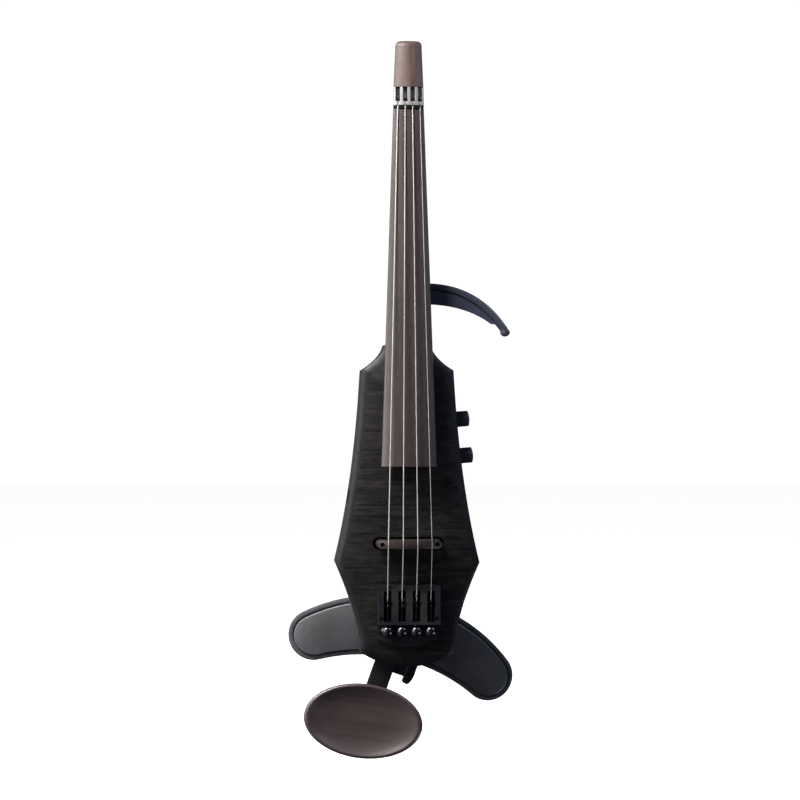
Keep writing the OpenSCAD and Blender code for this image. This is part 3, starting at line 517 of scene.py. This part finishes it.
DISH = [(0.02, -33), (0.3, -33), (0.62, -33), (0.84, -34.6), (0.96, -37.2), (1, -39.4), (0.992, -40.9),
        (0.965, -41.8), (0.93, -42), (0.89, -41.4), (0.8, -40), (0.65, -38.4), (0.45, -37.2), (0.2, -36.7),
        (0.02, -36.65)]
DISH_HALF, DISH_RISE = 44.7, 27.9
DISH_TURN, DISH_SHIFT = 7.6, (-8.1, -1.8)
ARM_LENGTH, ARM_TURN = 100, math.radians(19.7)
post_x = PIVOT[0] - ARM_LENGTH * math.sin(ARM_TURN)
post_z = PIVOT[1] - ARM_LENGTH * math.cos(ARM_TURN)
dish_rings = [[(DISH_HALF * r * math.cos(a), y, DISH_RISE * r * math.sin(a))
               for a in (math.radians(3.75 * k) for k in range(96))] for r, y in spread(DISH, 4)]
bm = aim(loft(dish_rings), (post_x + DISH_SHIFT[0], 0, post_z + DISH_SHIFT[1]), turn_y=DISH_TURN)
add_piece("chin_cup_wood", to_mesh("chin_cup_wood", bm), ["chin_dish"], sharp=60)


# ---------- shoulder rest ----------

LOBE_R, TOP_R, CREST = 19.7, 130.0, 44.0
LOBE_ANGLE = math.radians(50)
TOP_C = CREST - TOP_R
LOBE_C = ((TOP_R - LOBE_R) * math.cos(LOBE_ANGLE), TOP_C + (TOP_R - LOBE_R) * math.sin(LOBE_ANGLE))
LOW_C = -139.0
LOW_R = math.hypot(LOBE_C[0], LOBE_C[1] - LOW_C) - LOBE_R
LOW_U = LOBE_C[0] * LOW_R / (LOW_R + LOBE_R)
TOP_U = TOP_R * math.cos(LOBE_ANGLE)
REST_HALF = LOBE_C[0] + LOBE_R
REST_Y, REST_TURN, REST_MID = 48.0, 13.5, (0.65, 0, 2.6)
BOW, BOW_AT = 9, 90


def rest_edge(u, inset, side):
    """Height of the crescent's upper (side 1) or lower (side -1) edge at u."""
    if side > 0 and abs(u) < TOP_U - inset * math.cos(LOBE_ANGLE):
        return TOP_C + math.sqrt((TOP_R - inset) ** 2 - u * u)
    if side < 0 and abs(u) < LOW_U * (LOW_R + inset) / LOW_R:
        return LOW_C + math.sqrt((LOW_R + inset) ** 2 - u * u)
    reach = (LOBE_R - inset) ** 2 - (abs(u) - LOBE_C[0]) ** 2
    return LOBE_C[1] + side * math.sqrt(max(0.0, reach))


def rest_ring(inset, depth, count=72, crown=0.0):
    """One loop round the crescent at an inset, depth behind the bow line; crown lifts its middle back."""
    half = REST_HALF - inset
    us = [half * math.sin(math.radians(-90 + 180 * k / count)) for k in range(1, count)]

    def point(u, side):
        v = rest_edge(u, inset, side)
        bow = BOW * (u / BOW_AT) ** 2
        return (u, REST_Y + bow + depth + crown * (1 - (u / REST_HALF) ** 2), v)

    return [point(u, -1) for u in us] + [point(u, 1) for u in reversed(us)]


def crescent(profile, count=72):
    """Slab from (inset, depth, crown) rows, its two faces filled by strips from edge to edge."""
    bm = loft([rest_ring(i, d, count, c) for i, d, c in profile], closed_ends=False)
    bm.verts.ensure_lookup_table()
    row = 2 * (count - 1)
    for base, flip in ((0, True), (row * (len(profile) - 1), False)):
        for k in range(count - 2):
            strip = [base + k, base + k + 1, base + row - 2 - k, base + row - 1 - k]
            bm.faces.new([bm.verts[i] for i in (reversed(strip) if flip else strip)])
    return bm


plate = crescent([(5.3, 0, 0), (4.75, 0.12, 0), (4.45, 0.5, 0), (4.4, 1.1, 0), (4.5, 2.1, 0), (5.2, 2.6, 0)])
LUG_X, LUG_Y, LUG_Z, LUG_HALF = 9.3, 43, 26, 2.9
EYE = [(-2.9, 2.02), (-2.9, 3.3), (-2.6, 3.6), (2.6, 3.6), (2.9, 3.3), (2.9, 2.02)]
WEB = [(-3.6, 44.6), (3.6, 44.6), (3.6, 49.2), (-3.6, 49.2)]
lugs = []
for centre in (-LUG_X, LUG_X):
    lugs.append(aim(turned(EYE, sides=40, loop=True), (centre, LUG_Y, LUG_Z), turn_y=90))
    ends = (centre - LUG_HALF, centre + LUG_HALF)
    lugs.append(loft([[(x, y, LUG_Z + v) for v, y in WEB] for x in ends]))
bm = aim(joined(plate, *lugs), REST_MID, turn_y=REST_TURN)
add_piece("rest_plate", to_mesh("rest_plate", bm), ["shoulder_plate"], sharp=40)

PAD = [(6.2, 2.7, 0), (5.0, 2.75, 0), (4.7, 3.3, 0), (4.3, 3.9, 0), (3.8, 3.8, 0), (3.5, 3.1, 0),
       (3.1, 2.72, 0), (2.2, 2.6, 0), (1.1, 2.75, 0), (0.35, 3.3, 0), (0.05, 4.3, 0), (0.0, 5.6, 0),
       (0.12, 7.6, 0), (0.1, 9.2, 0), (0.5, 10.5, 0), (1.5, 11.4, 0.1), (3.2, 12.0, 0.3), (6, 12.5, 0.5),
       (10, 12.9, 0.7), (14, 13.1, 0.8)]
bm = aim(crescent(PAD), REST_MID, turn_y=REST_TURN)
pad = add_piece("rest_pad", to_mesh("rest_pad", bm), ["shoulder_pad"], sharp=60)


# ---------- rear thumb wheels ----------

def fluted(inner, outer, low, high, flutes):
    """Ring with rounded grip flutes, about +Z."""
    count = flutes * 6
    angles = [2 * math.pi * k / count for k in range(count)]
    rim = [outer - 0.22 * (1 - math.cos(flutes * a)) for a in angles]
    rows = [(low, 0.35), (low + 0.35, 0), (high - 0.35, 0), (high, 0.35)]
    rings = [[(inner * math.cos(a), inner * math.sin(a), low) for a in angles]]
    rings += [[((r - drop) * math.cos(a), (r - drop) * math.sin(a), z) for r, a in zip(rim, angles)]
              for z, drop in rows]
    rings.append([(inner * math.cos(a), inner * math.sin(a), high) for a in angles])
    return loft(rings, closed_ends=False, loop=True)


COLLAR_Y, LOCK_Y = 42.4, 47
bm = aim(fluted(7.02, 9.5, -1.1, 1.1, 30), (PIVOT[0], COLLAR_Y, PIVOT[1]), turn_x=-90)
add_piece("collar_wheel", to_mesh("collar_wheel", bm), ["collar_nut"], sharp=45)

shaft = turned([(4.3, 0.3), (4.3, 1.2), (4.6, 1.5), (9.6, 1.5), (10, 3), (12.1, 3)], sides=32)
head = fluted(0.4, 4.4, 12, 17, 18)
bm = aim(joined(shaft, head), (PIVOT[0], LOCK_Y, PIVOT[1]))
add_piece("lock_thumb_screw", to_mesh("lock_thumb_screw", bm), ["shoulder_lock_screw"], sharp=45)


# ---------- facing strip of the upper-bout arm ----------

OUTER = ((17, 291), (57, 290), (79, 254))
RIDGE = ((17, 286.5), (48, 285.5), (71.6, 255))
RAIL_ROOT, RAIL_STEPS = -8.2, 36


def rail_ring(outer, ridge, chamfer, drop=0.0):
    """One section from the outer edge to the ridge; drop lowers its front towards the blade, as a share."""
    front = [(0.0, RAIL_ROOT), (0.015, -9.6), (0.06, -10.9), (0.16, -11.6), (0.34, -11.95), (0.56, -12),
             (0.97 - chamfer, -11.8), (0.99 - chamfer, -11.65), (0.985, -10.3), (1.0, -10.0)]
    back = [(1.0, -5.5), (0.93, -5.05), (0.5, -5), (0.1, -5.05), (0.02, -5.6), (0.0, -6.8)]
    front = [(s, RAIL_ROOT + (y - RAIL_ROOT) * (1 - drop)) for s, y in front]
    return [(outer[0] + (ridge[0] - outer[0]) * s, y, outer[1] + (ridge[1] - outer[1]) * s)
            for s, y in front + back]


rings = []
for k in range(RAIL_STEPS + 1):
    t = k / RAIL_STEPS
    rings.append(rail_ring(bezier(*OUTER, t), bezier(*RIDGE, t), 0.08 + 0.3 * t * t))
end_a, end_b = Vector(OUTER[2]), Vector(RIDGE[2])
middle, half = (end_a + end_b) / 2, (end_a - end_b) / 2
ahead = Vector((half.y, -half.x)).normalized()
for step in range(1, 10):
    turn = math.radians(9.6 * step)
    centre = middle + ahead * (half.length * 1.05 * math.sin(turn))
    across = half * math.cos(turn)
    rings.append(rail_ring(centre + across, centre - across, 0.38, drop=0.7 * (1 - math.cos(turn))))
add_piece("bout_facing", to_mesh("bout_facing", loft(rings)), ["bout_rail"], sharp=40)


# ---------- the other parts keep their CAD shape, with edges rounded by this width ----------

EASED = {
    "body_top": 0.6, "body_core": 0.5, "neck": 0.0, "fingerboard": 0.5, "bridge": 0.35,
    "tuner_housing": 0.55, "bout_arm": 0.6, "control_cover": 0.35, "rear_bracket": 0.4,
    "chin_arm": 0.7, "chin_slide": 0.4, "chin_post": 0.4, "chin_plate": 0.5, "clamp_block": 0.6,
    "clamp_lever": 0.9, "clamp_rod": 0.25, "clamp_pin": 0.2, "swivel_post": 0.4, "post_clip": 0.2,
    "shoulder_collar": 0.3, "shoulder_swivel": 0.5, "tilt_pin": 0.3, "output_jack": 0.3, "jack_nut": 0.25,
    "bridge_screw_bass": 0.15, "bridge_screw_treble": 0.15, "bridge_screw_seats": 0.15, "bridge_pickup": 0.2,
    "housing_screws": 0.1, "cover_screws": 0.12, "bracket_screws": 0.2, "bout_screws": 0.2,
    "control_nuts": 0.2, "volume_pot": 0.3, "tone_pot": 0.3, "preamp_board": 0.12, "pickup_lead": 0.0,
}
for letter in LETTERS:
    EASED["carriage_" + letter] = 0.2
    EASED["tuning_knob_" + letter] = 0.15
for node, width in EASED.items():
    refined(node, bevel=width)

ARCH_EDGE = -20.3 * MM    # the arched face lies in front of this, and the bevel and the slots behind it
top = bpy.data.objects["body_top_fine"]
top.data.materials.append(BLACK_EDGE)
for face in top.data.polygons:
    if face.center.y > ARCH_EDGE:
        face.material_index = 1


# ---------- floor, light and camera ----------

def stage_mesh(name, bm, shader):
    mesh = to_mesh(name, bm)
    mesh.shade_smooth()
    obj = bpy.data.objects.new(name, mesh)
    bpy.context.scene.collection.objects.link(obj)
    mesh.materials.append(shader)
    return obj


def only_seen(obj):
    """Keeps a bright surface out of the part's own shading."""
    for ray in ("diffuse", "glossy", "transmission", "volume_scatter", "shadow"):
        setattr(obj, "visible_" + ray, False)


FLOOR_Z, FLOOR_R, BACKDROP_R = -0.0935, 7.5, 7.0
pale = Surface("pale_floor", Roughness=0.9, Specular_IOR_Level=0.1, Emission_Strength=0.9)
clouds = pale.noise(pale.place(), scale=3, detail=3)
pale.set("Base Color", pale.ramp(clouds, [(0.3, grey(0.86)), (0.7, grey(0.9))]))
pale.shader.inputs["Emission Color"].default_value = (1, 1, 1, 1)
bm = bmesh.new()
bmesh.ops.create_circle(bm, cap_ends=True, segments=96, radius=FLOOR_R)
floor = stage_mesh("floor", bm, pale.material)
floor.location.z = FLOOR_Z
only_seen(floor)

world = bpy.data.worlds.new("studio")
bpy.context.scene.world = world
world.use_nodes = True
sky = world.node_tree
spot = sky.nodes.new("ShaderNodeTexCoord")
split = sky.nodes.new("ShaderNodeSeparateXYZ")
sky.links.new(spot.outputs["Generated"], split.inputs[0])
side = sky.nodes.new("ShaderNodeMapRange")
side.interpolation_type = "SMOOTHSTEP"
for socket, value in (("From Min", -0.95), ("From Max", 0.1), ("To Min", 1.0), ("To Max", 0.0)):
    side.inputs[socket].default_value = value
sky.links.new(split.outputs["X"], side.inputs["Value"])
tones = sky.nodes.new("ShaderNodeValToRGB")
sky.links.new(side.outputs[0], tones.inputs[0])
dark_side, bright_side = tones.color_ramp.elements
dark_side.color, bright_side.color = (0.02, 0.02, 0.032, 1), (0.62, 0.6, 0.6, 1)
sky.links.new(tones.outputs[0], sky.nodes["Background"].inputs["Color"])
sky.nodes["Background"].inputs["Strength"].default_value = 0.5

glow = Surface("backdrop_white", Emission_Strength=1.05, Roughness=1.0, Specular_IOR_Level=0.0)
glow.shader.inputs["Base Color"].default_value = (0, 0, 0, 1)
haze = glow.noise(glow.place(), scale=0.4, detail=2)
glow.set("Emission Color", glow.ramp(haze, [(0.3, (0.985, 0.985, 0.99)), (0.7, (1, 1, 1))]))
bm = bmesh.new()
bmesh.ops.create_uvsphere(bm, u_segments=64, v_segments=32, radius=BACKDROP_R)
backdrop = stage_mesh("backdrop", bm, glow.material)
only_seen(backdrop)

TARGET = Vector((0, 0, 0.2))


def softbox(name, place, width, height, power, colour=(1, 1, 1)):
    data = bpy.data.lights.new(name, "AREA")
    data.shape = "RECTANGLE"
    data.size, data.size_y = width, height
    data.energy = power
    data.color = colour
    lamp = bpy.data.objects.new(name, data)
    bpy.context.scene.collection.objects.link(lamp)
    lamp.location = place
    lamp.rotation_euler = (TARGET - Vector(place)).to_track_quat("-Z", "Y").to_euler()


softbox("key", (-1.12, -0.95, 1.55), 0.6, 0.8, 27, (1.0, 0.97, 0.94))
softbox("near_left", (-0.62, -0.38, 0.28), 0.2, 0.75, 2.7, (1.0, 0.985, 0.98))
softbox("head_light", (-0.33, -0.36, 0.72), 0.2, 0.26, 5.8, (1.0, 0.95, 0.92))
softbox("rim_left", (-1.6, 0.9, 0.7), 0.5, 1.4, 16)
softbox("back", (0.7, 1.7, 0.3), 1.0, 1.2, 9)
softbox("fill_right", (1.0, -0.55, 0.9), 0.5, 0.6, 4.5, (0.66, 0.78, 1.0))
softbox("low_right", (0.9, -0.22, -0.62), 0.5, 0.2, 2.2, (0.86, 0.9, 1.0))

EYE_AT, LOOKS_AT = Vector((-0.1405, -1.9434, 0.2022)), Vector((-0.008, -0.048, 0.2022))
lens = bpy.data.cameras.new("camera")
lens.lens = 114.7
camera = bpy.data.objects.new("camera", lens)
bpy.context.scene.collection.objects.link(camera)
camera.location = EYE_AT
camera.rotation_euler = (LOOKS_AT - EYE_AT).to_track_quat("-Z", "Y").to_euler()
bpy.context.scene.camera = camera
bpy.context.scene.view_settings.view_transform = "Standard"
